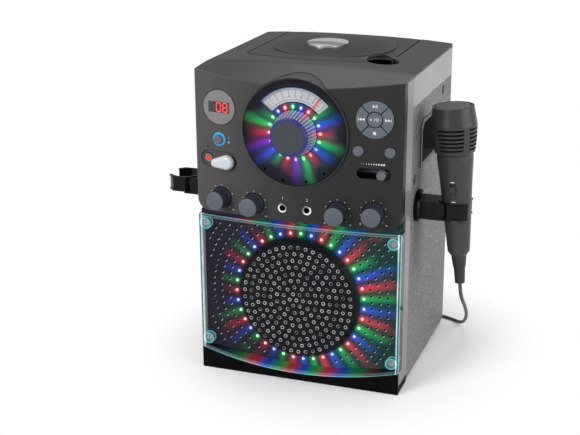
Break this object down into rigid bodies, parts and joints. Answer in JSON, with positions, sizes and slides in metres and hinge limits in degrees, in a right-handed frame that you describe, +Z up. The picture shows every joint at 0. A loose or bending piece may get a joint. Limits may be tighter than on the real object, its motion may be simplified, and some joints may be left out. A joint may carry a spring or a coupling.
{
  "type": "karaoke machine",
  "caption": "Tabletop karaoke machine with a top-loading disc lid, a round lit speaker behind a clear cover, a large volume dial, control knobs and a wired microphone in a side clip.",
  "frame": {"origin": "on the floor under the middle of the cabinet: middle of its width and of its depth, on the underside of the base", "axes": "+X to the right as seen from the front, +Y to the back, +Z up"},
  "size_m": [0.3723, 0.3326, 0.3814],
  "materials": {
    "black_plastic": "black moulded plastic, satin",
    "speckled_grey": "mid grey with a fine speckle, matt",
    "pale_grey": "pale grey, satin",
    "light_grey": "light grey, satin",
    "charcoal": "dark charcoal, fine satin texture",
    "bright_trim": "bright plated",
    "plated_steel": "zinc plated",
    "white_plastic": "off-white, glossy",
    "clear_plastic": "clear moulded polystyrene",
    "circuit_board": "green circuit board with its components",
    "black_steel": "black painted pressed steel",
    "cone_paper": "black coated paper",
    "black_gloss": "black, glossy",
    "silver_scale": "silver-white printed scale",
    "red_plastic": "red",
    "blue_grey": "blue-grey, half gloss",
    "blue_clear": "clear light guide lit blue",
    "grey_button": "cool grey, satin",
    "display_grey": "grey smoked window over the digit block",
    "grey_mesh": "dark woven wire with foam behind it",
    "soft_rubber": "black flexible PVC",
    "lamination_steel": "varnished laminations round a taped winding"
  },
  "bodies": {
    "cabinet": {"baffle": "black_plastic", "base_plinth": "black_plastic", "cabinet_shell": "speckled_grey", "case_screws": "plated_steel", "clear_cover": "clear_plastic", "control_board": "circuit_board", "control_panel": "charcoal", "control_pots": "plated_steel", "deck_mechanism": "plated_steel", "dial_face": "black_gloss", "dial_housing": "black_gloss", "dial_light_ring": "circuit_board", "dial_scale": "silver_scale", "disc_well": "black_plastic", "display_window": "display_grey", "front_frame": "light_grey", "grip_pockets": "black_plastic", "main_board": "circuit_board", "mic_clip_left": "black_gloss", "mic_clip_right": "black_gloss", "mic_jacks": "bright_trim", "power_ring": "blue_clear", "power_transformer": "lamination_steel", "rear_panel": "black_plastic", "rear_sockets": "black_plastic", "speaker_cone": "cone_paper", "speaker_frame": "black_steel", "speaker_light_ring": "circuit_board", "top_deck": "charcoal", "upper_band": "pale_grey", "usb_port": "plated_steel"},
    "lid": {"disc_lid": "charcoal", "lid_badge": "bright_trim"},
    "disc_table": {"turntable": "black_plastic"},
    "pickup": {"pickup_sled": "black_plastic"},
    "gear": {"sled_gear": "white_plastic"},
    "volume": {"volume_knob": "blue_grey"},
    "needle": {"dial_needle": "red_plastic"},
    "voice_control": {"voice_control_knob": "blue_grey"},
    "balance": {"balance_knob": "blue_grey"},
    "echo": {"echo_knob": "blue_grey"},
    "mic_volume": {"mic_volume_knob": "blue_grey"},
    "slider": {"disco_slider": "blue_grey"},
    "memory_stick": {"usb_stick": "white_plastic"},
    "microphone": {"mic_body": "black_plastic", "mic_grille": "grey_mesh", "mic_strain_relief": "soft_rubber", "mic_cord": "soft_rubber", "mic_cord_coil": "soft_rubber", "mic_plug": "bright_trim"},
    "microphone_switch": {"mic_switch": "grey_button"},
    "skip": {"skip_button": "grey_button"},
    "play": {"play_button": "grey_button"},
    "stop": {"stop_button": "grey_button"},
    "previous": {"previous_button": "grey_button"},
    "next": {"next_button": "grey_button"},
    "mode": {"mode_button": "grey_button"},
    "repeat": {"repeat_button": "grey_button"},
    "record": {"record_button": "grey_button"},
    "power": {"power_button": "grey_button"}
  },
  "joints": [
    {"name": "lid_hinge", "type": "hinge", "parent": "cabinet", "child": "lid", "pos_m": [-0.004, 0.1057, 0.3673], "axis": [-1, 0, 0], "range_deg": [0, 75]},
    {"name": "disc_table_spin", "type": "hinge", "parent": "cabinet", "child": "disc_table", "pos_m": [-0.004, 0.033, 0.348], "axis": [0, 0, 1], "continuous": true},
    {"name": "pickup_slide", "type": "slide", "parent": "cabinet", "child": "pickup", "axis": [1, 0, 0], "range_m": [0, 0.032]},
    {"name": "gear_spin", "type": "hinge", "parent": "cabinet", "child": "gear", "pos_m": [0.038, 0.0045, 0.338], "axis": [0, 0, 1], "range_deg": [-270, 10]},
    {"name": "volume_turn", "type": "hinge", "parent": "cabinet", "child": "volume", "pos_m": [0, -0.145, 0.305], "axis": [0, 1, 0], "range_deg": [-270, 36]},
    {"name": "needle_turn", "type": "hinge", "parent": "cabinet", "child": "needle", "pos_m": [0, -0.1219, 0.305], "axis": [0, 1, 0], "range_deg": [-82, 11]},
    {"name": "voice_control_turn", "type": "hinge", "parent": "cabinet", "child": "voice_control", "pos_m": [-0.0903, -0.11808, 0.2206], "axis": [0.1086, 0.9941, 0], "range_deg": [-150, 150]},
    {"name": "balance_turn", "type": "hinge", "parent": "cabinet", "child": "balance", "pos_m": [-0.0497, -0.12151, 0.2181], "axis": [0.0598, 0.9982, 0], "range_deg": [-150, 150]},
    {"name": "echo_turn", "type": "hinge", "parent": "cabinet", "child": "echo", "pos_m": [0.0497, -0.12151, 0.2181], "axis": [-0.0598, 0.9982, 0], "range_deg": [-150, 150]},
    {"name": "mic_volume_turn", "type": "hinge", "parent": "cabinet", "child": "mic_volume", "pos_m": [0.0903, -0.11808, 0.2206], "axis": [-0.1086, 0.9941, 0], "range_deg": [-150, 150]},
    {"name": "slider_slide", "type": "slide", "parent": "cabinet", "child": "slider", "axis": [0.9941, 0.1083, 0], "range_m": [-0.0225, 0.0045]},
    {"name": "skip_press", "type": "slide", "parent": "cabinet", "child": "skip", "axis": [-0.1086, 0.9941, 0], "range_m": [0, 0.0012], "stiffness_N_per_m": 300, "springref_m": -0.0004},
    {"name": "play_press", "type": "slide", "parent": "cabinet", "child": "play", "axis": [-0.1086, 0.9941, 0], "range_m": [0, 0.0012], "stiffness_N_per_m": 300, "springref_m": -0.0004},
    {"name": "stop_press", "type": "slide", "parent": "cabinet", "child": "stop", "axis": [-0.1086, 0.9941, 0], "range_m": [0, 0.0012], "stiffness_N_per_m": 300, "springref_m": -0.0004},
    {"name": "previous_press", "type": "slide", "parent": "cabinet", "child": "previous", "axis": [-0.1086, 0.9941, 0], "range_m": [0, 0.0012], "stiffness_N_per_m": 300, "springref_m": -0.0004},
    {"name": "next_press", "type": "slide", "parent": "cabinet", "child": "next", "axis": [-0.1086, 0.9941, 0], "range_m": [0, 0.0012], "stiffness_N_per_m": 300, "springref_m": -0.0004},
    {"name": "mode_press", "type": "slide", "parent": "cabinet", "child": "mode", "axis": [-0.0873, 0.9962, 0], "range_m": [0, 0.0012], "stiffness_N_per_m": 300, "springref_m": -0.0004},
    {"name": "repeat_press", "type": "slide", "parent": "cabinet", "child": "repeat", "axis": [-0.1292, 0.9916, 0], "range_m": [0, 0.0012], "stiffness_N_per_m": 300, "springref_m": -0.0004},
    {"name": "record_press", "type": "slide", "parent": "cabinet", "child": "record", "axis": [0.1293, 0.9916, 0], "range_m": [0, 0.0012], "stiffness_N_per_m": 300, "springref_m": -0.0004},
    {"name": "power_press", "type": "slide", "parent": "cabinet", "child": "power", "axis": [0.111, 0.9938, 0], "range_m": [0, 0.002], "stiffness_N_per_m": 300, "springref_m": -0.0004},
    {"name": "memory_stick_pull", "type": "slide", "parent": "cabinet", "child": "memory_stick", "axis": [-0.1058, -0.9944, 0], "range_m": [0, 0.016]},
    {"name": "microphone_lift", "type": "slide", "parent": "cabinet", "child": "microphone", "axis": [-0.0752, 0, 0.9972], "range_m": [0, 0.1]},
    {"name": "microphone_switch_slide", "type": "slide", "parent": "microphone", "child": "microphone_switch", "axis": [0.0752, 0, -0.9972], "range_m": [0, 0.006]}
  ],
  "couplings": [
    {"joint": "needle_turn", "follows": "volume_turn", "ratio": 0.3},
    {"joint": "gear_spin", "follows": "pickup_slide", "rad_per_m": -142.86}
  ]
}
